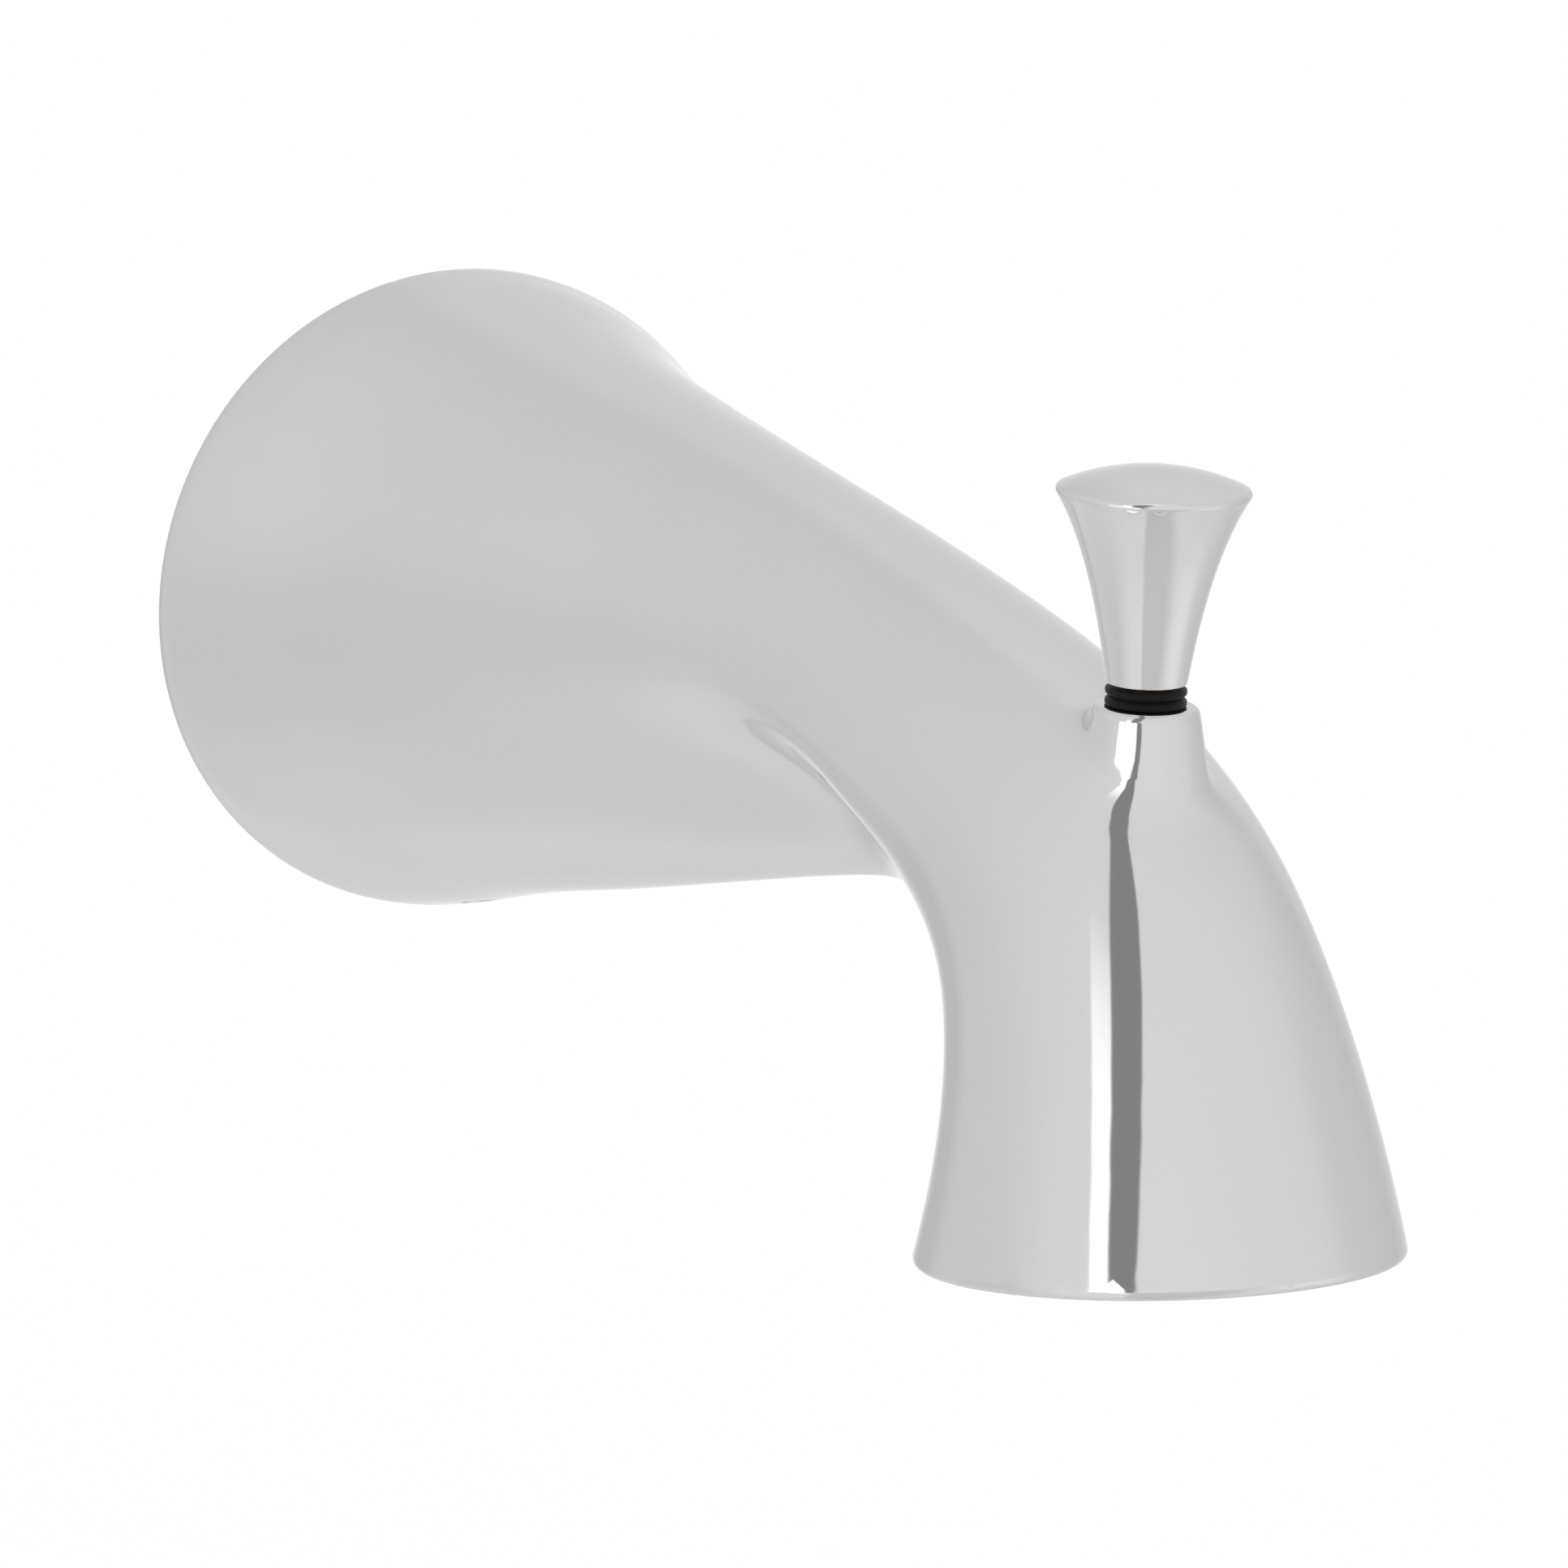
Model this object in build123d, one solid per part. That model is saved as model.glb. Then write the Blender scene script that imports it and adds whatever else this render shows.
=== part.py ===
from build123d import *
from itertools import accumulate
from math import cos, pi, radians, sin, sqrt, tan, tanh
from scipy.interpolate import CubicSpline
import os

# Bath spout with a pull-up diverter, slip fit on a copper tube that stands out of the wall.
# Frame: the origin is the middle of the wall face, on the axis of the tube.
# +Z is up and +Y goes into the wall, so the spout reaches along -Y. Millimetres throughout.

# Spout body: one hollow casting, a bell at the wall that runs through an arm into a flared mouth
REACH = 180.0            # wall to the front edge of the mouth
FLANGE_DIA = 71.2        # bell against the wall
FLANGE_EDGE = 1.0        # rounding of the bell's edge at the wall
BELL_BAND = 4.0          # band at the wall that stays as wide as the bell
MOUTH_DIA = 49.2         # outside of the mouth
MOUTH_DROP = 38.3        # tube axis down to the middle of the mouth
MOUTH_TILT = 6.4         # degrees that the front of the mouth is tipped up
LIP_OUTER = 0.8          # rounding of the mouth's outer edge
LIP_INNER = 0.6          # rounding of the mouth's inner edge
WALL = 3.0               # wall of the casting
BELL_DEPTH = 56.0        # hollow behind the bell
BULKHEAD = 16.0          # thickness of the wall that the sleeve screws into

# Cross-sections of the body between the bell and the mouth, in order out of the wall.
# Each runs from a point on the crown to one on the underside: their places are shares of
# the reach, and their heights are above the tube's axis. Above the fold a section is an oval
# as wide as the arm, and below it narrows to a keel. The fold, and how softly it turns, are
# degrees round the section from the crown.
# crown at, crown height, under at, under height, half width, keel half width, fold, softness
ARM_SECTIONS = [
    (0.114, 33.0, 0.125, -30.5, 29.0, 27.5, 96, 29),
    (0.244, 30.1, 0.247, -25.1, 24.0, 18.5, 101, 23),
    (0.408, 27.2, 0.414, -17.5, 18.5, 11.2, 98, 17),
    (0.576, 23.2, 0.540, -12.1, 16.7, 6.9, 101, 15),
    (0.747, 16.9, 0.606, -10.9, 16.8, 9.6, 113, 19),
    (0.855, 8.2, 0.668, -12.2, 17.4, 14.3, 113, 29),
    (0.918, -2.9, 0.709, -16.3, 18.7, 17.0, 113, 34),
    (0.967, -19.0, 0.734, -25.0, 21.2, 20.5, 115, 34),
]

# Boss for the diverter's rod, on top of the nose
STEM_PLACE = 0.8265      # axis of the rod, as a share of the reach
BOSS_TOP_DIA = 10.6
BOSS_HEIGHT = 2.5        # above the crown of the body at the back of the boss
BOSS_TAPER = 10.0        # degrees
BOSS_ROOT = 14.0         # how far the cone runs down into the body
BOSS_BLEND = 4.0         # hollow fillet between boss and body
BOSS_EDGE = 0.9

# Copper tube that the spout slips over, and the brass sleeve that takes it
TUBE_DIA = 15.875
TUBE_CLEARANCE = 0.125   # radial
SLEEVE_INSET = 3.0       # wall face to the back of the sleeve
COLLAR_DIA = 26.0        # back of the sleeve, round the seals and the screw
COLLAR_LENGTH = 36.0
BARREL_DIA = 20.0        # sleeve between collar and hexagon
HEX_FLATS = 22.0         # hexagon that screws the sleeve home
HEX_LENGTH = 7.0
THREAD_DIA = 19.0        # screwed end of the sleeve
THREAD_LENGTH = 13.0
THREAD_CLEARANCE = 0.05  # radial
SLEEVE_WATERWAY = 11.0   # bore of the screwed end
SLEEVE_LEAD = 1.2        # chamfer at the back of the bore
WASHER_THICKNESS = 1.6   # flat washer between hexagon and bulkhead
WASHER_DIA = 23.0

# Seals in the sleeve
INLET_RING_CORD = 2.62   # cord of each o-ring
INLET_RING_DEPTHS = (22.0, 29.5)    # back of the sleeve to the middle of each groove
INLET_RING_SQUEEZE = 0.35           # how far a ring stands into the bore
GROOVE_SIDE = 0.3        # room on each side of a ring
GROOVE_FLOOR = 0.02      # room under a ring

# Set screw that grips the tube, and the hole in the bell for its key
SCREW_DIA = 5.0
SCREW_LENGTH = 4.6
SCREW_SETBACK = 9.0      # back of the sleeve to the axis of the screw
SCREW_HEX = 2.5          # key, across flats
SCREW_HEX_DEPTH = 2.2
SCREW_CLEARANCE = 0.05   # radial, in its thread
SCREW_BACK_OFF = 0.1     # tip of the screw to the bore
KEY_HOLE_DIA = 6.5

# Waterway, from the sleeve down to the port behind the diverter's gate
WATERWAY_DIA = 15.0
WATERWAY_RISE = 1.6      # middle of the waterway above the tube's axis, under the arm's crown
PORT_DIA = 10.0
PORT_DROP = 6.0          # tube axis down to the middle of the port
PARTITION = 3.5          # wall that the port goes through
CEILING_DROP = 15.5      # tube axis down to the ceiling of the mouth's hollow

# Diverter: rod, gate, facing and knob, which lift together
LIFT = 13.0
STEM_DIA = 4.0
STEM_CLEARANCE = 0.05    # radial, in the bushing and its seal
STEM_HOLE_ROOM = 0.4     # radial, in the body
STEM_FIT = 0.02          # radial, in the gate, the nut and the knob
GATE_WIDTH = 16.0
GATE_HEIGHT = 14.0
GATE_THICKNESS = 3.0
GATE_CORNER = 3.0
GATE_ROOM = 0.4          # gate to the walls of its pocket
HUB_DIA = 8.0
HUB_OVERLAP = 1.5        # hub let into the front of the gate
FACING_THICKNESS = 1.8   # rubber facing on the gate
FACING_RECESS = 0.8      # how deep the facing is let into the gate
FACING_MARGIN = 1.6      # edge of the gate outside the facing
FACING_GAP = 0.3         # facing to the wall of the port
NUT_FLATS = 7.0
NUT_HEIGHT = 3.2
STEM_TAIL = 1.0          # rod below the nut

# Bushing and seal round the rod, in the boss
BUSHING_DIA = 6.6
BUSHING_LENGTH = 5.0     # inside the boss
BUSHING_CLEARANCE = 0.05
RING_DIA = 8.1           # head of the bushing, the black ring that shows under the knob
RING_HEIGHT = 1.8
RING_GROOVE = 0.35       # depth of the groove round the head
RING_ROUND = 0.25        # rounding of the head's edges
STEM_SEAL_CORD = 1.2
STEM_SEAL_ROOM = 0.1     # seal to the counterbore

# Knob
KNOB_FLARE_HEIGHT = 19.4     # foot to the rim
KNOB_TOP_DIA = 19.7          # corner of flare and cap, which its rounding draws in a little
KNOB_FOOT_DIA = 8.0
KNOB_DOME = 2.2              # rise of the cap above the rim
KNOB_BEND_HEIGHT = 13.4      # corner that the flare's curve is drawn towards
KNOB_BEND_DIA = 11.9
KNOB_RIM = 0.5               # rounding between flare and cap
KNOB_EDGE = 0.4              # rounding of the foot
KNOB_GAP = 0.3               # knob to the black ring when it is down
KNOB_SOCKET = 11.0           # depth of the hole for the rod
SOCKET_ROOM = 0.2            # end of the rod to the end of the hole

# Construction
SECTION_POINTS = 12      # points along each half of a cross-section
LOFT_SECTIONS = 32       # cross-sections that a form is drawn through
CUT = 5.0                # how far a cutting shape runs past the face that it opens
ON_AXIS = (Align.CENTER, Align.CENTER, Align.MIN)
OUT_OF_WALL = (0, -1, 0)
SIDEWAYS = Vector(1, 0, 0)

flange_r = FLANGE_DIA / 2
mouth_r = MOUTH_DIA / 2
mouth_reach = REACH - mouth_r * cos(radians(MOUTH_TILT))
stem_reach = REACH * STEM_PLACE


def place(reach, height, side=0.0):
    """A point of the part, from its distance out of the wall and its height."""
    return Vector(side, -reach, height)


def round_section(reach, height, radius, lean):
    """A round cross-section whose crown leans forward by lean degrees from upright."""
    forward = radius * sin(radians(lean))
    rise = radius * cos(radians(lean))
    fold, softness = ARM_SECTIONS[0][6:]
    return ((reach + forward) / REACH, height + rise, (reach - forward) / REACH, height - rise,
            radius, radius, fold, softness)


def spacing(sections):
    """Where each section lies along the body, from 0 to 1, closer where the body bends."""
    middles = [place(REACH * (s[0] + s[2]) / 2, (s[1] + s[3]) / 2) for s in sections]
    steps = [sqrt((b - a).length) for a, b in zip(middles, middles[1:])]
    return [total / sum(steps) for total in accumulate([0.0, *steps])]


mouth_lean = 90 - MOUTH_TILT
body_sections = [
    round_section(0, 0, flange_r, 0),
    round_section(BELL_BAND, 0, flange_r, 0),
    *ARM_SECTIONS,
    round_section(mouth_reach, -MOUTH_DROP, mouth_r, mouth_lean),
]
body_spacing = spacing(body_sections)
body_form = CubicSpline(body_spacing, body_sections)

# Where the forms of the two hollows start and end: at the first cross-section past the bell's
# hollow, and at the last one above the ceiling of the mouth's hollow
bell_end = min(step for step, section in zip(body_spacing, body_sections)
               if REACH * min(section[0], section[2]) > BELL_DEPTH)
mouth_start = max(step for step, section in zip(body_spacing, body_sections)
                  if min(section[1], section[3]) > -CEILING_DROP)


def half_outline(values, inset=0.0):
    """The right half of a cross-section's outline, drawn in from the outside by inset."""
    crown_at, crown_height, under_at, under_height, half_width, keel, fold, softness = values
    crown = place(crown_at * REACH, crown_height)
    under = place(under_at * REACH, under_height)
    middle = (crown + under) / 2
    half = (crown - under) / 2
    half = half.normalized() * (half.length - inset)
    steps = [i / SECTION_POINTS for i in range(SECTION_POINTS + 1)]
    widths = []
    for step in steps:
        narrowing = (1 + tanh((180 * step - fold) / softness)) / 2
        widths.append(half_width - (half_width - keel) * narrowing - inset)
    points = [middle + half * cos(pi * step) + SIDEWAYS * (width * sin(pi * step))
              for step, width in zip(steps, widths)]
    slopes = [SIDEWAYS * (pi * widths[0]), SIDEWAYS * (-pi * widths[-1])]
    return Edge.make_spline(points, slopes, parameters=steps, scale=False)


def loft_body(start, end, inset=0.0):
    """The body's form from start to end of its length, drawn in from the outside by inset."""
    steps = [start + (end - start) * i / (LOFT_SECTIONS - 1) for i in range(LOFT_SECTIONS)]
    halves = [half_outline(body_form(step), inset) for step in steps]
    right = Shell.make_loft([Wire([half]) for half in halves]).face()
    ends = [Face(Wire([half, half.mirror(Plane.YZ)])) for half in (halves[0], halves[-1])]
    return Solid(Shell([right, right.mirror(Plane.YZ), *ends]))


def along_reach(radius, start, end, height=0.0):
    """A round bar out of the wall, from start to end."""
    plane = Plane(origin=place(start, height), z_dir=OUT_OF_WALL)
    return plane * Cylinder(radius, end - start, align=ON_AXIS)


def upright(radius, low, high, reach=stem_reach):
    """A round bar along Z."""
    return Pos(place(reach, low)) * Cylinder(radius, high - low, align=ON_AXIS)


def block(side, back, front, low, high):
    """A block, as wide as side on either hand of the middle plane."""
    align = (Align.CENTER, Align.MAX, Align.MIN)
    return Pos(place(back, low)) * Box(2 * side, front - back, high - low, align=align)


def turn_along_reach(*corners):
    """A piece turned about the tube's axis, from (distance out of the wall, radius) corners."""
    profile = Polyline(*[place(reach, radius) for reach, radius in corners], close=True)
    return revolve(make_face(profile), Axis.Y)


def turn_upright(*corners):
    """A piece turned about the rod's axis, from (radius, height) corners."""
    profile = Polyline(*[(radius, 0, height) for radius, height in corners], close=True)
    return Pos(place(stem_reach, 0)) * revolve(make_face(profile), Axis.Z)


def hexagon(flats, plane, height):
    """A hexagonal prism on a plane."""
    return extrude(plane * RegularPolygon(flats / 2, 6, major_radius=False), height)


# Outside of the body, and heights that hang on its crown
outside = loft_body(0, 1)
boss_r = BOSS_TOP_DIA / 2
crown_height = (outside & upright(boss_r, -FLANGE_DIA, FLANGE_DIA)).bounding_box().max.Z
boss_top = crown_height + BOSS_HEIGHT
boss_foot = boss_top - BOSS_ROOT
boss_foot_r = boss_r + BOSS_ROOT * tan(radians(BOSS_TAPER))
bushing_foot = boss_top - BUSHING_LENGTH
seal_seat = bushing_foot - STEM_SEAL_CORD - STEM_SEAL_ROOM
ring_top = boss_top + RING_HEIGHT
knob_foot = ring_top + KNOB_GAP

# Heights of the gate at rest, from the port that it closes when it is up
gate_foot = -PORT_DROP - GATE_HEIGHT / 2 - LIFT
gate_top = gate_foot + GATE_HEIGHT
pocket_top = gate_top + LIFT + GATE_ROOM
nut_foot = gate_foot - NUT_HEIGHT
stem_foot = nut_foot - STEM_TAIL
stem_top = knob_foot + KNOB_SOCKET - SOCKET_ROOM

# Places of the gate out of the wall, from the rod that carries it
gate_front = stem_reach - HUB_DIA / 2 + HUB_OVERLAP
gate_back = gate_front - GATE_THICKNESS
facing_front = gate_back + FACING_RECESS
facing_back = facing_front - FACING_THICKNESS
partition_front = facing_back - FACING_GAP
partition_back = partition_front - PARTITION

# Places of the sleeve out of the wall
bulkhead_front = BELL_DEPTH + BULKHEAD
shoulder = BELL_DEPTH - WASHER_THICKNESS
hex_back = shoulder - HEX_LENGTH
collar_front = SLEEVE_INSET + COLLAR_LENGTH
thread_end = BELL_DEPTH + THREAD_LENGTH
bore_r = TUBE_DIA / 2 + TUBE_CLEARANCE
thread_r = THREAD_DIA / 2
stem_r = STEM_DIA / 2
groove_r = bore_r + INLET_RING_CORD - INLET_RING_SQUEEZE + GROOVE_FLOOR
ring_places = [SLEEVE_INSET + depth for depth in INLET_RING_DEPTHS]
screw_reach = SLEEVE_INSET + SCREW_SETBACK
screw_tip = -bore_r - SCREW_BACK_OFF
screw_head = screw_tip - SCREW_LENGTH


def bell_hollow():
    """The hollow behind the bell, up to the wall that the sleeve screws into."""
    hollow = loft_body(0, bell_end, WALL)
    return hollow & block(FLANGE_DIA, -CUT, BELL_DEPTH, -FLANGE_DIA, FLANGE_DIA)


def mouth_hollow():
    """The hollow of the mouth, up to a flat ceiling under the port."""
    hollow = loft_body(mouth_start, 1, WALL)
    return hollow & block(FLANGE_DIA, 0, 2 * REACH, -2 * FLANGE_DIA, -CEILING_DROP)


def waterway():
    """The waterway inside the arm: over the keel, then down to the port."""
    start = bulkhead_front - CUT
    middle = (start + partition_back) / 2
    middle_dia = (WATERWAY_DIA + PORT_DIA) / 2
    rounds = [
        (start, 0, WATERWAY_DIA),
        (middle, WATERWAY_RISE, middle_dia),
        (partition_back, -PORT_DROP, PORT_DIA),
    ]
    circles = [Plane(origin=place(reach, height), z_dir=OUT_OF_WALL) * Circle(dia / 2)
               for reach, height, dia in rounds]
    return loft(circles, ruled=True)


def gate_pocket():
    """Room above the ceiling for the gate and its hub to rise into."""
    side = GATE_WIDTH / 2 + GATE_ROOM
    low = -CEILING_DROP - CUT
    slot = block(side, partition_front, gate_front + GATE_ROOM, low, pocket_top)
    return slot + upright(HUB_DIA / 2 + GATE_ROOM, low, pocket_top)


def rod_hole():
    """Stepped hole down the boss, for the bushing, its seal and the rod."""
    wide = upright(BUSHING_DIA / 2 + BUSHING_CLEARANCE, seal_seat, boss_top + CUT)
    return wide + upright(stem_r + STEM_HOLE_ROOM, pocket_top - CUT, seal_seat + CUT)


def edges_about(shape, point, distance):
    """The edges whose middle lies within a distance of a point."""
    return [e for e in shape.edges() if (e.center(CenterOf.BOUNDING_BOX) - point).length < distance]


def make_spout_body():
    mouth = outside.faces().sort_by(Axis.Z)[0]
    body = fillet(mouth.edges(), LIP_OUTER)
    wall_face = body.faces().sort_by(Axis.Y)[-1]
    body = fillet(wall_face.edges(), FLANGE_EDGE)
    boss = Cone(boss_foot_r, boss_r, BOSS_ROOT, align=ON_AXIS)
    boss = fillet(boss.edges().sort_by(Axis.Z)[-1], BOSS_EDGE)
    body += Pos(place(stem_reach, boss_foot)) * boss
    joint = [e for e in edges_about(body, place(stem_reach, crown_height), BOSS_TOP_DIA)
             if e.geom_type == GeomType.BSPLINE and e.bounding_box().size.X > BOSS_EDGE]
    body = fillet(joint, BOSS_BLEND)
    body -= bell_hollow()
    body -= mouth_hollow()
    mouth_middle = place(mouth_reach, -MOUTH_DROP)
    lip = body.faces().filter_by(GeomType.PLANE).sort_by_distance(mouth_middle)[0]
    body = fillet(lip.inner_wires()[0].edges(), LIP_INNER)
    body -= along_reach(thread_r + THREAD_CLEARANCE, BELL_DEPTH - CUT, bulkhead_front)
    body -= waterway()
    body -= gate_pocket()
    body -= along_reach(PORT_DIA / 2, partition_back - CUT, partition_front + GATE_ROOM, -PORT_DROP)
    body -= rod_hole()
    return body - upright(KEY_HOLE_DIA / 2, -FLANGE_DIA, -COLLAR_DIA, screw_reach)


def make_inlet_sleeve():
    collar_r = COLLAR_DIA / 2
    barrel_r = BARREL_DIA / 2
    waterway_r = SLEEVE_WATERWAY / 2
    sleeve = turn_along_reach(
        (SLEEVE_INSET, bore_r + SLEEVE_LEAD), (SLEEVE_INSET, collar_r), (collar_front, collar_r),
        (collar_front, barrel_r), (shoulder, barrel_r), (shoulder, thread_r), (thread_end, thread_r),
        (thread_end, waterway_r), (hex_back, waterway_r), (hex_back, bore_r),
        (SLEEVE_INSET + SLEEVE_LEAD, bore_r))
    nut = hexagon(HEX_FLATS, Plane(origin=place(hex_back, 0), z_dir=OUT_OF_WALL), HEX_LENGTH)
    sleeve += nut - along_reach(waterway_r, hex_back - CUT, shoulder + CUT)
    for reach in ring_places:
        reach_back = reach - INLET_RING_CORD / 2 - GROOVE_SIDE
        reach_front = reach + INLET_RING_CORD / 2 + GROOVE_SIDE
        sleeve -= along_reach(groove_r, reach_back, reach_front)
    return sleeve - upright(SCREW_DIA / 2 + SCREW_CLEARANCE, -COLLAR_DIA, 0, screw_reach)


def make_sleeve_washer():
    ring = along_reach(WASHER_DIA / 2, shoulder, BELL_DEPTH)
    return ring - along_reach(thread_r + THREAD_CLEARANCE, shoulder - CUT, BELL_DEPTH + CUT)


def make_inlet_o_ring(reach):
    middle_r = groove_r - GROOVE_FLOOR - INLET_RING_CORD / 2
    return Plane(origin=place(reach, 0), z_dir=OUT_OF_WALL) * Torus(middle_r, INLET_RING_CORD / 2)


def make_set_screw():
    screw = upright(SCREW_DIA / 2, screw_head, screw_tip, screw_reach)
    return screw - hexagon(SCREW_HEX, Plane(origin=place(screw_reach, screw_head)), SCREW_HEX_DEPTH)


def make_diverter_stem():
    return upright(stem_r, stem_foot, stem_top)


def make_diverter_gate():
    face = Plane(origin=place(gate_back, (gate_foot + gate_top) / 2), x_dir=(1, 0, 0), z_dir=OUT_OF_WALL)
    plate = extrude(face * RectangleRounded(GATE_WIDTH, GATE_HEIGHT, GATE_CORNER), GATE_THICKNESS)
    hub = upright(HUB_DIA / 2, gate_foot, gate_top)
    hub -= block(HUB_DIA, gate_back - CUT, gate_back, gate_foot, gate_top)
    gate = plate + hub
    gate -= upright(stem_r + STEM_FIT, gate_foot - CUT, gate_top + CUT)
    return gate - facing_block(facing_back, facing_front)


def facing_block(back, front):
    """The rubber facing's shape, between two distances out of the wall."""
    face = Plane(origin=place(back, (gate_foot + gate_top) / 2), x_dir=(1, 0, 0), z_dir=OUT_OF_WALL)
    width = GATE_WIDTH - 2 * FACING_MARGIN
    height = GATE_HEIGHT - 2 * FACING_MARGIN
    return extrude(face * RectangleRounded(width, height, GATE_CORNER - FACING_MARGIN), front - back)


def make_gate_nut():
    nut = hexagon(NUT_FLATS, Plane(origin=place(stem_reach, nut_foot)), NUT_HEIGHT)
    return nut - upright(stem_r + STEM_FIT, nut_foot - CUT, gate_foot + CUT)


def make_stem_bushing():
    bore = stem_r + STEM_CLEARANCE
    sleeve_r = BUSHING_DIA / 2
    ring_r = RING_DIA / 2
    middle = boss_top + RING_HEIGHT / 2
    bushing = turn_upright(
        (bore, bushing_foot), (sleeve_r, bushing_foot), (sleeve_r, boss_top), (ring_r, boss_top),
        (ring_r, middle - RING_GROOVE), (ring_r - RING_GROOVE, middle), (ring_r, middle + RING_GROOVE),
        (ring_r, ring_top), (bore, ring_top))
    rims = [e for e in bushing.edges().filter_by(GeomType.CIRCLE) if e.radius > ring_r - RING_GROOVE / 2]
    return fillet(rims, RING_ROUND)


def make_stem_o_ring():
    cord_r = STEM_SEAL_CORD / 2
    middle_r = stem_r + STEM_CLEARANCE + cord_r
    return Pos(place(stem_reach, bushing_foot - cord_r - STEM_SEAL_ROOM / 2)) * Torus(middle_r, cord_r)


def make_diverter_knob():
    rim = (KNOB_TOP_DIA / 2, KNOB_FLARE_HEIGHT)
    top = (0, KNOB_FLARE_HEIGHT + KNOB_DOME)
    foot = (KNOB_FOOT_DIA / 2, 0)
    flare = Bezier(foot, (KNOB_BEND_DIA / 2, KNOB_BEND_HEIGHT), rim)
    sphere_r = (rim[0] ** 2 + KNOB_DOME ** 2) / (2 * KNOB_DOME)
    cap = RadiusArc(rim, top, -sphere_r)
    profile = make_face([Line((0, 0), foot), flare, cap, Line(top, (0, 0))])
    knob = revolve(Plane.XZ * profile, Axis.Z)
    knob = fillet(edges_about(knob, Vector(0, 0, KNOB_FLARE_HEIGHT), KNOB_RIM), KNOB_RIM)
    knob = fillet(edges_about(knob, Vector(0, 0, 0), KNOB_EDGE), KNOB_EDGE)
    knob = Pos(place(stem_reach, knob_foot)) * knob
    return knob - upright(stem_r + STEM_FIT, knob_foot - CUT, knob_foot + KNOB_SOCKET)


nodes = {
    "spout_body": make_spout_body(),
    "inlet_sleeve": make_inlet_sleeve(),
    "sleeve_washer": make_sleeve_washer(),
    "inlet_o_ring_rear": make_inlet_o_ring(ring_places[0]),
    "inlet_o_ring_front": make_inlet_o_ring(ring_places[1]),
    "set_screw": make_set_screw(),
    "stem_bushing": make_stem_bushing(),
    "stem_o_ring": make_stem_o_ring(),
    "diverter_stem": make_diverter_stem(),
    "diverter_gate": make_diverter_gate(),
    "gate_facing": facing_block(facing_back, facing_front),
    "gate_nut": make_gate_nut(),
    "diverter_knob": make_diverter_knob(),
}

os.makedirs("parts", exist_ok=True)
for name, solid in nodes.items():
    solid.label = name
    export_step(solid, f"parts/{name}.step")
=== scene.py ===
# %% [markdown]
# # A chrome bath spout with a pull-up diverter
#
# The solids of the spout come packed from CAD, in metres, at their real size and place. This
# lesson gives each of them its finish, puts a camera where the photographer stood, and sets up
# the light of a small photo tent, because a mirror shows little else than what stands around it.
#
# The frame is loaded first.

# %% Load the frame
import math

import bmesh
import bpy
import numpy as np
from mathutils import Matrix, Vector


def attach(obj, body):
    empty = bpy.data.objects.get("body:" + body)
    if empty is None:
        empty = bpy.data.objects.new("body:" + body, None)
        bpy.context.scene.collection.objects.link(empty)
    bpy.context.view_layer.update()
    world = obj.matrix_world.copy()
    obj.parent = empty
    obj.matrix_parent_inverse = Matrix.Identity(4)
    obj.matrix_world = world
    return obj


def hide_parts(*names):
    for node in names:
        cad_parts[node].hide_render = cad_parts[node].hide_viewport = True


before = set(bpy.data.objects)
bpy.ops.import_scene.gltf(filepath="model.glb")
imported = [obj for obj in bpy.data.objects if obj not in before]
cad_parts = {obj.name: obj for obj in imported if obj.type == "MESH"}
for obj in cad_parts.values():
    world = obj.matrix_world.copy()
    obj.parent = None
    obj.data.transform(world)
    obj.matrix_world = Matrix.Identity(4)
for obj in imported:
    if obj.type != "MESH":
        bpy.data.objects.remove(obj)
scene = bpy.context.scene
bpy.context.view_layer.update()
print("nodes", sorted(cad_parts))

# %% [markdown]
# ## Shader sums written as Python
#
# A finish is a small net of nodes. Wired by hand, a sum such as `0.04 + 0.02 * noise` takes a
# dozen lines, so one small class wraps a socket and lets Python's own operators add the Math
# nodes. Any other node comes from one method, `node`, which takes the node's type, its settings
# and what goes into its sockets. Node groups would also keep this short, but a sum in Python can
# be read at a glance and changed in one place.

# %% A socket that can be added, scaled and compared


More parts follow.
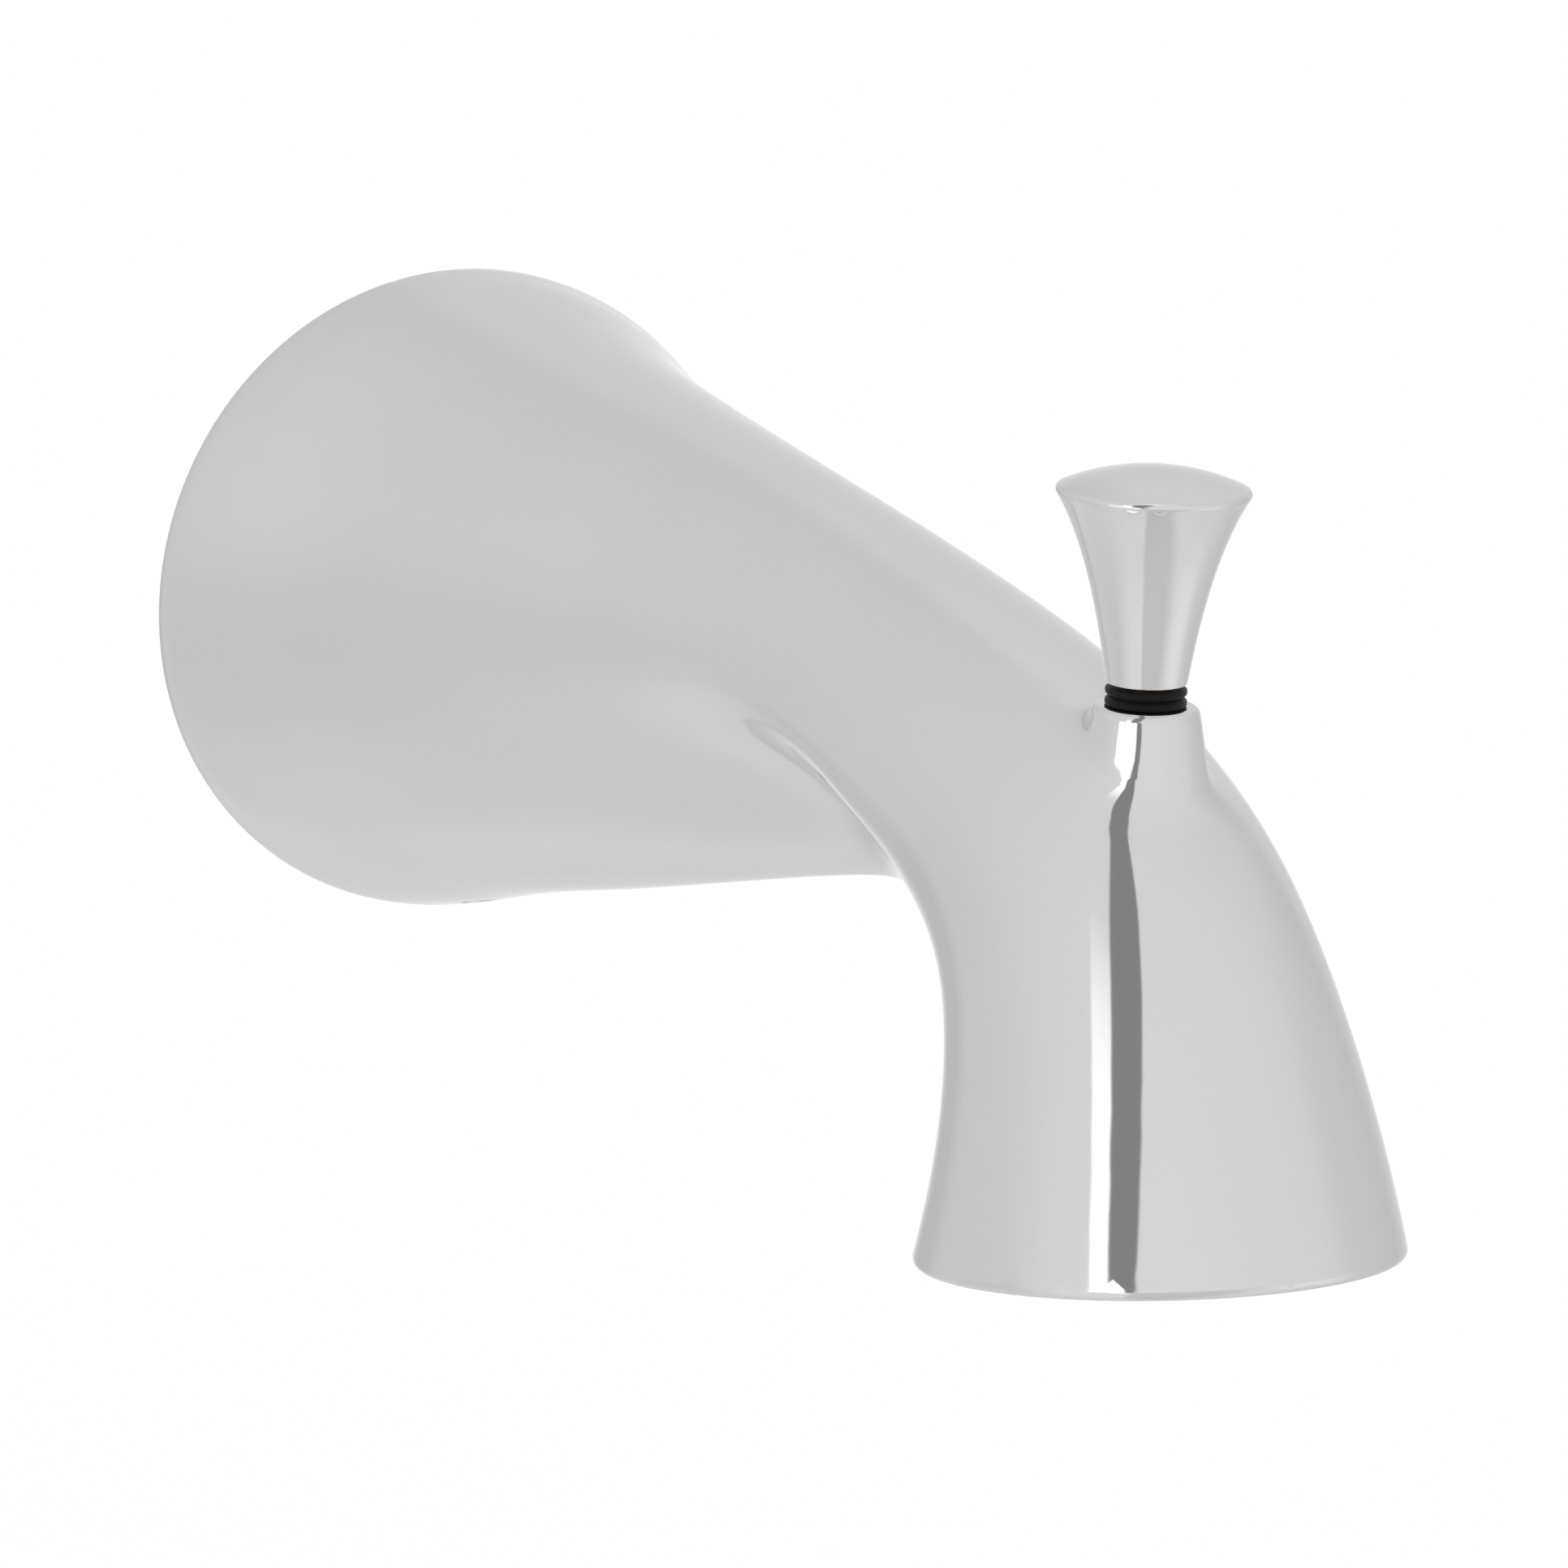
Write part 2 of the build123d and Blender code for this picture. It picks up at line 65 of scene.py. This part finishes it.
class Value:
    """A socket of a node tree, for use in Python sums."""

    def __init__(self, tree, socket):
        self.tree = tree
        self.socket = socket

    def node(self, kind, settings=None, out=0, **inputs):
        """A new node. Its settings are set first, then its sockets, by name or as s0, s1 and so on."""
        made = self.tree.nodes.new(kind)
        for name, setting in (settings or {}).items():
            setattr(made, name, setting)
        for name, given in inputs.items():
            key = int(name[1:]) if name[0] == "s" and name[1:].isdigit() else name.replace("_", " ")
            socket = made.inputs[key]
            if isinstance(given, Value):
                self.tree.links.new(given.socket, socket)
            else:
                socket.default_value = given
        return Value(self.tree, made.outputs[out])

    def math(self, operation, a, b=0.0, c=0.0):
        return self.node("ShaderNodeMath", {"operation": operation}, s0=a, s1=b, s2=c)

    def __add__(self, other):
        return self.math("ADD", self, other)

    def __sub__(self, other):
        return self.math("SUBTRACT", self, other)

    def __mul__(self, other):
        return self.math("MULTIPLY", self, other)

    def __rsub__(self, other):
        return self.math("SUBTRACT", other, self)

    __radd__ = __add__
    __rmul__ = __mul__

    def between(self, low, high):
        """0 below low, 1 above high, and a soft step from one to the other."""
        settings = {"interpolation_type": "SMOOTHSTEP"}
        return self.node("ShaderNodeMapRange", settings, s0=self, s1=low, s2=high)

    def within(self, low, high, soft, soft_end=None):
        """1 between two limits, 0 outside them, with soft steps at both."""
        soft_end = soft_end or soft
        return (self - low).between(-soft, soft) - (self - high).between(-soft_end, soft_end)

    def split(self):
        """The three parts of a vector."""
        parts = self.node("ShaderNodeSeparateXYZ", s0=self).socket.node.outputs
        return [Value(self.tree, part) for part in parts]

    def mix(self, first, second):
        """A colour between two others, with this value as the share of the second."""
        settings = {"data_type": "RGBA"}
        return self.node("ShaderNodeMix", settings, out=2, s0=self, s6=first, s7=second)

    def grain(self, scale, detail=2.0):
        """Noise at this point, with about scale lumps to the metre."""
        return self.node("ShaderNodeTexNoise", Vector=self, Scale=scale, Detail=detail)

    def relief(self, distance, strength=1.0):
        """A bump whose height is this value."""
        return self.node("ShaderNodeBump", Height=self, Distance=distance, Strength=strength)


print("shader sums ready")

# %% [markdown]
# ## Starting a finish
#
# Every finish here starts in the same way: a new material, its Principled shader, and the point
# on the piece as a value. The point is in Object coordinates, which are metres on the real spout,
# so a grain of 1000 lumps to the metre is a millimetre across, on whichever piece it is used.

# %% Start a finish


def new_finish(name):
    """A new material: its shader, and the point on the piece as a value to start sums from."""
    material = bpy.data.materials.new(name)
    material.use_nodes = True
    tree = material.node_tree
    shader = tree.nodes["Principled BSDF"]
    coordinates = tree.nodes.new("ShaderNodeTexCoord")
    return material, shader, Value(tree, coordinates.outputs["Object"])


def feed(shader, **sockets):
    """Puts numbers, colours or values into a shader's sockets."""
    for name, given in sockets.items():
        socket = shader.inputs[name.replace("_", " ")]
        if isinstance(given, Value):
            given.tree.links.new(given.socket, socket)
        else:
            socket.default_value = given


def grey(light, warmth=0.0):
    """A grey of this lightness, warmer above 0 and cooler below."""
    return (light + warmth, light, light - warmth, 1.0)


print("grey", grey(0.5, -0.01))

# %% [markdown]
# ## Polished chrome
#
# The outside of the casting and the knob are buffed, plated with nickel and then flashed with
# chromium. Chromium sends back a little over half of the light, so a white tent shows in it as a
# light grey. At a grazing angle most metals turn white, and the edge tint holds that back. Where
# chrome shows in chrome, as in the fold under the arm, each mirror takes its share and the fold
# would turn black. Here chrome seen in another mirror is painted full white instead. That is painted
# light: it stands in for the cloth close by and keeps the fold light, so only the first mirror takes
# its share. A perfect mirror would look like a computer's idea of chrome: the real polish is a
# little hazier in some places than in others, so colour and roughness wander over the surface.

# %% Polished chrome
CHROME_HAZY = 0.545
CHROME_CLEAR = 0.565
# Chrome seen in another mirror is painted full white: painted light that keeps the fold under the arm
# light.
CHROME_IN_CHROME_PAINTED_LIGHT = 1.0
CHROME_EDGE = 0.82
HAZE_LUMPS = 60.0
CLEAREST_POLISH = 0.03
HAZE_ROUGHNESS = 0.05


def polished_chrome():
    material, shader, point = new_finish("polished_chrome")
    haze = point.grain(HAZE_LUMPS, 3.0)
    # Mirror rays get the painted white, a painted light in the fold; the camera sees the plain chrome.
    mirror_ray = point.node("ShaderNodeLightPath", out="Is Glossy Ray")
    plain = haze.mix(grey(CHROME_CLEAR), grey(CHROME_HAZY))
    feed(shader, Base_Color=mirror_ray.mix(plain, grey(CHROME_IN_CHROME_PAINTED_LIGHT)), Metallic=1.0,
         Specular_Tint=grey(CHROME_EDGE), Roughness=CLEAREST_POLISH + HAZE_ROUGHNESS * haze)
    return material


chrome = polished_chrome()
print("finish", chrome.name)

# %% [markdown]
# ## The casting's inside
#
# Buffing wheels can't reach into the bell and the mouth, so there the plating lies straight on
# the cast metal. It is dull, patchy and faintly grainy, like fine sand. The same shader does it,
# with a rougher value, a darker grey in patches and a bump of sand-sized grains.

# %% Plate over cast metal
DULL_PLATE = grey(0.36)
LIGHT_PLATE = grey(0.52, 0.004)
PATCH_LUMPS = 90.0
SAND_LUMPS = 1500.0
SAND_DEPTH = 0.0003


def plate_over_casting():
    material, shader, point = new_finish("plate_over_casting")
    patches = point.grain(PATCH_LUMPS)
    sand = point.grain(SAND_LUMPS, 3.0)
    feed(shader, Base_Color=patches.mix(DULL_PLATE, LIGHT_PLATE), Metallic=1.0,
         Roughness=0.38 + 0.2 * sand + 0.12 * patches, Normal=sand.relief(SAND_DEPTH, 0.6))
    return material


inside_finish = plate_over_casting()
print("finish", inside_finish.name)

# %% [markdown]
# ## Turned brass
#
# The sleeve, the diverter's rod and its nut are turned from yellow brass bar and left bare. A
# lathe tool leaves fine rings round the axis, so the height of the bump depends only on the place
# along that axis: one-dimensional noise. Brass also darkens unevenly with handling, which a slow
# change of colour shows.

# %% Turned brass
FRESH_BRASS = (0.78, 0.58, 0.30, 1.0)
HANDLED_BRASS = (0.66, 0.46, 0.22, 1.0)
TOOL_RINGS = 3500.0
RING_DEPTH = 0.00008
HANDLING_LUMPS = 130.0


def turned_brass(name, axis):
    """Brass with a lathe's rings round the X, Y or Z axis."""
    material, shader, point = new_finish(name)
    along = point.split()["XYZ".index(axis)]
    one_way = {"noise_dimensions": "1D"}
    rings = point.node("ShaderNodeTexNoise", one_way, W=along * TOOL_RINGS, Scale=1.0)
    handling = point.grain(HANDLING_LUMPS)
    feed(shader, Base_Color=handling.between(0.3, 0.7).mix(FRESH_BRASS, HANDLED_BRASS), Metallic=1.0,
         Roughness=0.18 + 0.16 * rings + 0.1 * handling, Normal=rings.relief(RING_DEPTH, 0.5))
    return material


sleeve_brass = turned_brass("sleeve_brass", "Y")
rod_brass = turned_brass("rod_brass", "Z")
print("finishes", sleeve_brass.name, rod_brass.name)

# %% [markdown]
# ## Rubber, plastic and steel
#
# The seals are black rubber: matt, with a mould's fine grain. The ring under the knob is the head
# of an acetal bushing, black with a soft gloss. The gate is moulded in a pale grey plastic, whose
# skin is slightly uneven, and the set screw is plain steel. They differ in a few numbers only, so
# one function makes all four.

# %% Rubber, plastic and steel


def plain_finish(name, dark, light, metallic, rough_from, rough_by, lumps, depth, gloss=0.5):
    """A finish between two greys, whose roughness and bump follow one grain."""
    material, shader, point = new_finish(name)
    skin = point.grain(lumps, 3.0)
    feed(shader, Base_Color=skin.mix(grey(dark), grey(light)), Metallic=metallic,
         Specular_IOR_Level=gloss, Roughness=rough_from + rough_by * skin,
         Normal=skin.relief(depth, 0.5))
    return material


rubber = plain_finish("black_rubber", 0.012, 0.03, 0.0, 0.55, 0.25, 1800.0, 0.0001)
black_acetal = plain_finish("black_acetal", 0.006, 0.013, 0.0, 0.36, 0.2, 900.0, 0.00002, 0.06)
gate_plastic = plain_finish("gate_plastic", 0.52, 0.66, 0.0, 0.34, 0.2, 500.0, 0.00004)
screw_steel = plain_finish("screw_steel", 0.34, 0.56, 1.0, 0.24, 0.24, 1200.0, 0.00005)
print("finishes", rubber.name, black_acetal.name, gate_plastic.name, screw_steel.name)

# %% [markdown]
# ## Which faces are inside
#
# The casting is one piece with two finishes, so its faces have to be told apart. A face of a
# hollow looks towards the hollow's own axis, and a face of the outside looks away from it. That is
# tested about three axes: the tube's in the bell, the mouth's in the nose, and the rod's in the
# hole through the boss. A flat rim looks along the axis, neither to it nor away, and counts as
# outside. The flat end of each hollow is added by the way that it faces.

# %% Tell inside from outside
BELL_DEPTH = 0.0565
MOUTH_CEILING = -0.0150
NOSE_START = 0.1200
MOUTH_MIDDLE = Vector((0.0, -0.1556, -0.0383))
ROD_PLACE = Vector((0.0, -0.14877, 0.0))
ROD_ROOM = 0.0125
FLAT_SHARE = 0.05
STRAIGHT_ON = 0.9
UPRIGHT = 0.02
INTO_WALL = Vector((0, 1, 0))
UP = Vector((0, 0, 1))


def looks_inward(face, about, axis):
    """True where a face looks towards the axis through a point."""
    out = face.calc_center_median() - about
    out -= axis * out.dot(axis)
    return face.normal.dot(out) < -FLAT_SHARE * out.length


def is_inside(face):
    """True for the faces of the casting's hollows."""
    middle = face.calc_center_median()
    if middle.y > -BELL_DEPTH:
        bell_end = face.normal.dot(INTO_WALL) > STRAIGHT_ON and middle.y < -BELL_DEPTH / 2
        return bell_end or looks_inward(face, Vector((0, 0, 0)), INTO_WALL)
    if middle.y > -NOSE_START:
        return False
    if middle.z < MOUTH_CEILING:
        ceiling = face.normal.z < -STRAIGHT_ON and middle.z > 1.5 * MOUTH_CEILING
        return ceiling or looks_inward(face, MOUTH_MIDDLE, UP)
    near_rod = (middle.xy - ROD_PLACE.xy).length < ROD_ROOM
    return near_rod and abs(face.normal.z) < UPRIGHT and looks_inward(face, ROD_PLACE, UP)


print("hollows: bell to", BELL_DEPTH, "mouth from", MOUTH_CEILING)

# %% [markdown]
# ## Buffing the normals
#
# Mirror finishes show the least wobble of the shading, and a mesh of triangles always wobbles a
# little. On the real casting a buffing wheel takes such ripples out, and rounds off the hollow at
# the foot of the boss. The same can be done to the normals alone. Each one becomes a mean of those
# around it, near ones first and large faces more than small ones, and the shape stays that of the
# CAD model. The wheel reaches far on the crown of the arm and at the foot of the boss, and less far
# on the nose. It leaves the fold, the rims and the boss's top edge alone.

# %% Buffed normals
NOSE_REACH = 0.0017
ARM_REACH = 0.0040
FOOT_REACH = 0.0026
SIDE_REACH = 0.0008
BOSS_FOOT_WIDTH = (0.009, 0.018)
BOSS_FOOT_TOP = (0.0060, 0.0100)
BOSS_EDGE = 0.0152
ARM_FADE = (-0.1280, -0.1200)
CROWN_FADE = (0.05, 0.35)
RIM_FADE = (-0.0070, -0.0030)
LIP_FADE = (-0.0360, -0.0310)
LEAST_REACH = 0.00003
BATCH = 400


def step(number, low, high):
    """0 below low, 1 above high, and a soft step between, for plain numbers."""
    share = min(max((number - low) / (high - low), 0.0), 1.0)
    return share * share * (3 - 2 * share)


def reach_at(place, way):
    """How far the wheel evens the surface out at a place with this normal."""
    near_boss = 1 - step((place.xy - ROD_PLACE.xy).length, *BOSS_FOOT_WIDTH)
    boss = FOOT_REACH + (SIDE_REACH - FOOT_REACH) * step(place.z, *BOSS_FOOT_TOP)
    nose = (NOSE_REACH + (boss - NOSE_REACH) * near_boss) * step(place.z, *LIP_FADE)
    arm = ARM_REACH * step(way.z, *CROWN_FADE) * (1 - step(place.y, *RIM_FADE))
    return LEAST_REACH + nose + (arm - nose) * step(place.y, *ARM_FADE)


def table(vectors):
    """Vectors as rows of single-precision numbers."""
    return np.array([tuple(vector) for vector in vectors], dtype=np.float32)


def buff(points, ways):
    """The normals of a list of points, each evened out over its reach."""
    places = table(point.co for point in points)
    reaches = np.array([reach_at(point.co, way) for point, way in zip(points, ways)], dtype=np.float32)
    areas = [sum(face.calc_area() for face in point.link_faces) for point in points]
    areas = np.array(areas, dtype=np.float32)
    ways = table(ways)
    evened = []
    for start in range(0, len(places), BATCH):
        rows = slice(start, start + BATCH)
        gaps = ((places[rows, None] - places[None]) ** 2).sum(axis=2)
        weights = np.exp(-gaps / (2 * reaches[rows, None] ** 2)) * areas
        evened.append(weights @ ways)
    evened = np.concatenate(evened)
    return evened / np.linalg.norm(evened, axis=1, keepdims=True)


print("reach on the arm", ARM_REACH, "m, on the nose", NOSE_REACH, "m")

# %% [markdown]
# ## Copies of the pieces that shine
#
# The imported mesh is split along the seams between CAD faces, so the glossy pieces are shown by a
# copy whose doubled points are merged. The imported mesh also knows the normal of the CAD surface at
# each corner. Every corner keeps it through the merging in a layer of its own, and where all the
# corners round a point of the body agree, the buffed normal takes its place. Sharp edges so stay
# sharp. A subdivision surface would smooth too, but would pull the shape away from its CAD size.

# %% Smooth copies
MERGE_DISTANCE = 2e-6
SOFT_ANGLE = math.radians(12)


def soft_points(made, exact):
    """The points whose outer faces agree on a normal, with that normal."""
    soft = {}
    for point in made.verts:
        ways = [corner[exact] for corner in point.link_loops]
        outer = not any(face.material_index for face in point.link_faces)
        boss_edge = point.co.z > BOSS_EDGE and (point.co.xy - ROD_PLACE.xy).length < ROD_ROOM
        if outer and not boss_edge and all(ways[0].angle(way) < SOFT_ANGLE for way in ways):
            soft[point] = sum(ways, Vector()).normalized()
    return soft


def smooth_copy(node, name, body, finishes, second_finish=None):
    """A merged copy of a CAD node with the CAD surface's own shading, which then stands for it."""
    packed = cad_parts[node].data
    made = bmesh.new()
    made.from_mesh(packed)
    exact = made.loops.layers.float_vector.new("exact")
    for face, packed_face in zip(made.faces, packed.polygons):
        face.smooth = True
        face.material_index = int(bool(second_finish and second_finish(face)))
        for corner, place in zip(face.loops, packed_face.loop_indices):
            corner[exact] = packed.corner_normals[place].vector
    bmesh.ops.remove_doubles(made, verts=made.verts, dist=MERGE_DISTANCE)
    if second_finish:
        soft = soft_points(made, exact)
        for point, way in zip(soft, buff(list(soft), list(soft.values()))):
            for corner in point.link_loops:
                corner[exact] = Vector(way)
    mesh = bpy.data.meshes.new(name)
    made.to_mesh(mesh)
    made.free()
    mesh.normals_split_custom_set([corner.vector for corner in mesh.attributes["exact"].data])
    mesh.attributes.remove(mesh.attributes["exact"])
    for finish in finishes:
        mesh.materials.append(finish)
    piece = bpy.data.objects.new(name, mesh)
    scene.collection.objects.link(piece)
    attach(piece, body)
    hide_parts(node)
    share = sum(face.material_index for face in mesh.polygons) / len(mesh.polygons)
    print(name, len(mesh.polygons), "triangles,", round(100 * share), "% of them in the second finish")
    return piece


smooth_copy("spout_body", "plated_body", "spout", [chrome, inside_finish], is_inside)
smooth_copy("diverter_knob", "plated_knob", "diverter", [chrome])
smooth_copy("stem_bushing", "black_ring", "spout", [black_acetal])

# %% [markdown]
# ## The other pieces keep their CAD mesh
#
# What sits in the bell and in the mouth is seen only from behind or from below, and its CAD shape
# is already right. Such a piece needs no copy: its object's material slots get the new finish.

# %% Finishes on the CAD pieces
HIDDEN_PIECES = {
    "inlet_sleeve": sleeve_brass,
    "sleeve_washer": rubber,
    "inlet_o_ring_rear": rubber,
    "inlet_o_ring_front": rubber,
    "set_screw": screw_steel,
    "stem_o_ring": rubber,
    "diverter_stem": rod_brass,
    "diverter_gate": gate_plastic,
    "gate_facing": rubber,
    "gate_nut": rod_brass,
}

for node, finish in HIDDEN_PIECES.items():
    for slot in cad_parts[node].material_slots:
        slot.material = finish
print("finishes set on", len(HIDDEN_PIECES), "pieces")

# %% [markdown]
# ## The camera
#
# The photo was taken with a long lens from a little above the spout, to its left. Where it stood
# was found outside Blender: the spout's outline was matched to the photo's by moving a camera
# until both fell together, and the numbers below came out of that. The lens is written in pixels
# of the photo, which is what such a match gives, and turned into millimetres of a usual sensor.

# %% Camera
PHOTO_WIDTH = 1932
LENS_PIXELS = 12000
SENSOR = 36.0
CAMERA_AZIMUTH = math.radians(29.49)
CAMERA_ELEVATION = math.radians(12.48)
CAMERA_ROLL = math.radians(-1.82)
CAMERA_PLACE = Vector((-0.4900, -0.9438, 0.2137))


def photo_camera():
    camera = bpy.data.objects.new("photo_camera", bpy.data.cameras.new("photo_camera"))
    level = math.cos(CAMERA_ELEVATION)
    back = Vector((-math.sin(CAMERA_AZIMUTH) * level, -math.cos(CAMERA_AZIMUTH) * level,
                   math.sin(CAMERA_ELEVATION)))
    right = Vector((math.cos(CAMERA_AZIMUTH), -math.sin(CAMERA_AZIMUTH), 0.0))
    up = back.cross(right)
    rolled_right = right * math.cos(CAMERA_ROLL) - up * math.sin(CAMERA_ROLL)
    rolled_up = up * math.cos(CAMERA_ROLL) + right * math.sin(CAMERA_ROLL)
    turn = Matrix((rolled_right, rolled_up, back)).transposed().to_4x4()
    camera.matrix_world = Matrix.Translation(CAMERA_PLACE) @ turn
    camera.data.sensor_width = SENSOR
    camera.data.lens = SENSOR * LENS_PIXELS / PHOTO_WIDTH
    camera.data.clip_end = 20.0
    scene.collection.objects.link(camera)
    scene.camera = camera
    return camera


print("lens", round(photo_camera().data.lens, 1), "mm")

# %% [markdown]
# ## The photo tent
#
# Small shiny goods are photographed in a tent of white cloth, which lights them from all sides,
# and a mirror shows little else than that cloth. What breaks the white is a bright strip, where a
# lamp stands close behind the cloth, and next to it the dark slit that the lens looks through.
# Those two make the white and the dark line down the nose. Cloth and lamps could be modelled, but
# a world shader holds the same picture: the direction of a ray, as an azimuth and a height in
# degrees, decides which part of the tent it meets. The edges of the strip and the slit lean, and
# spread near the floor, so they are sums of the height. The camera itself sees plain white.

# %% The tent's lamp and slit
LAMP = 1.9
LAMP_FADE = (21, 55)
SLIT = 0.385
SLIT_HEIGHTS = (2, 80)
FOOT = (7, 13)
LAMP_LEFT = (-62, -0.27, -22)
LAMP_RIGHT = (-55, -0.10, 9)
SLIT_RIGHT = (-46, 0.20, 7)


def lamp_and_slit(cloth, azimuth, height):
    """The cloth's brightness with the bright strip and the dark slit in it."""
    foot = 1 - height.between(*FOOT)

    def edge(start, lean, spread):
        """An upright edge: its azimuth, its lean per degree of height and its spread at the foot."""
        return start + lean * height + spread * foot

    lamp_right = edge(*LAMP_RIGHT)
    lamp = azimuth.within(edge(*LAMP_LEFT), lamp_right, 1.0)
    lamp = lamp * (1 - height.between(*LAMP_FADE)) * height.between(-12, 0)
    slit = azimuth.within(lamp_right, edge(*SLIT_RIGHT), 1.0) * height.within(*SLIT_HEIGHTS, 4)
    lit = cloth + (LAMP - cloth) * lamp
    return lit + (SLIT - lit) * slit


print("lamp", LAMP, "slit", SLIT)

# %% [markdown]
# ## Cards and gaps in the tent
#
# The cloth glows most in front, where the room's own light comes in, and white cards below the
# spout throw light up from under it, with darker gaps between them. They show as soft bands
# on the knob, which flares and so looks down, and as the gentle shading of the bell. Each is a soft
# rectangle in azimuth and height that adds a little brightness or takes a little away.

# %% Photo tent
CLOTH = 1.09
FRONT_GLOW = 0.10
LEFT_GLOW = 0.04
# Azimuths of the left and right side, softness of each, lowest and highest height and their
# softness, all in degrees, and the change of brightness.
PANELS = {
    "shade beside the bell": (-132, -96, 24, 14, -36, -4, 30, -0.18),
    "wall behind, left": (-200, -164, 6, 8, -26, 0, 8, -0.10),
    "wall behind, right": (166, 200, 6, 6, -26, 0, 8, -0.12),
    "cloth over the back": (118, 160, 8, 8, 0, 56, 10, 0.09),
    "card under the back, left": (-200, -156, 6, 14, -58, -29, 11, 0.10),
    "card under the back, right": (142, 200, 8, 6, -58, -29, 11, 0.10),
    "card on the left": (-80, -47, 3, 3, -42, -4, 8, 0.05),
    "gap in front": (-46, 12, 4, 16, -95, -8, 8, -0.24),
    "card on the right": (28, 68, 14, 14, -40, -8, 10, 0.15),
    "shade on the right": (62, 118, 12, 10, -30, 24, 14, -0.07),
    "lamp above": (95, 190, 10, 10, 76, 96, 8, 0.6),
}
WHITE = (1.0, 1.0, 1.0, 1.0)
DEGREES = 180 / math.pi


def tent():
    world = bpy.data.worlds.new("photo_tent")
    world.use_nodes = True
    scene.world = world
    tree = world.node_tree
    coordinates = tree.nodes.new("ShaderNodeTexCoord")
    way = Value(tree, coordinates.outputs["Generated"])
    x, y, z = way.split()
    azimuth = way.math("ARCTAN2", x, 0.0 - y) * DEGREES
    height = way.math("ARCSINE", z) * DEGREES
    cloth = CLOTH - FRONT_GLOW * y - LEFT_GLOW * x
    for left, right, soft, soft_end, low, high, fade, change in PANELS.values():
        panel = azimuth.within(left, right, soft, soft_end) * height.within(low, high, fade)
        cloth = cloth + change * panel
    camera_ray = way.node("ShaderNodeLightPath", out="Is Camera Ray")
    seen = camera_ray.mix(lamp_and_slit(cloth, azimuth, height), WHITE)
    feed(tree.nodes["Background"], Color=seen)


scene.view_settings.view_transform = "Standard"
tent()
print("tent: cloth", CLOTH, "with", len(PANELS), "cards and gaps")

# %% [markdown]
# ## The floor
#
# The spout hangs in the air as it would on a wall, above a pale floor. The camera sees the floor as
# the white of the tent, with a share of its real shading left in, which keeps the soft shadow.
# Mirror rays pass through it to the tent, so that no horizon line runs through the chrome, and from
# below it can be looked through, into the mouth of the spout.

# %% Floor
FLOOR_DROP = 0.16
FLOOR_SIZE = 6.0
FLOOR_GREY = grey(0.9)
WHITE_SHARE = 0.92


def floor():
    made = bmesh.new()
    bmesh.ops.create_grid(made, x_segments=1, y_segments=1, size=FLOOR_SIZE / 2)
    bmesh.ops.translate(made, vec=(0, 0, -FLOOR_DROP), verts=made.verts)
    mesh = bpy.data.meshes.new("floor")
    made.to_mesh(mesh)
    made.free()
    material, shader, point = new_finish("pale_floor")
    feed(shader, Base_Color=FLOOR_GREY, Roughness=0.9)
    camera_ray = point.node("ShaderNodeLightPath", out="Is Camera Ray")
    mirror_ray = point.node("ShaderNodeLightPath", out="Is Glossy Ray")
    from_below = point.node("ShaderNodeNewGeometry", out="Backfacing")
    white = point.node("ShaderNodeEmission", Color=WHITE, Strength=1.0)
    shaded = Value(point.tree, shader.outputs[0])
    seen = point.node("ShaderNodeMixShader", s0=camera_ray * WHITE_SHARE, s1=shaded, s2=white)
    clear = point.node("ShaderNodeBsdfTransparent")
    through = point.math("MAXIMUM", mirror_ray, from_below)
    passed = point.node("ShaderNodeMixShader", s0=through, s1=seen, s2=clear)
    point.tree.links.new(passed.socket, point.tree.nodes["Material Output"].inputs["Surface"])
    mesh.materials.append(material)
    plane = bpy.data.objects.new("floor", mesh)
    scene.collection.objects.link(plane)


floor()
print("floor", FLOOR_DROP, "m below the tube's axis")
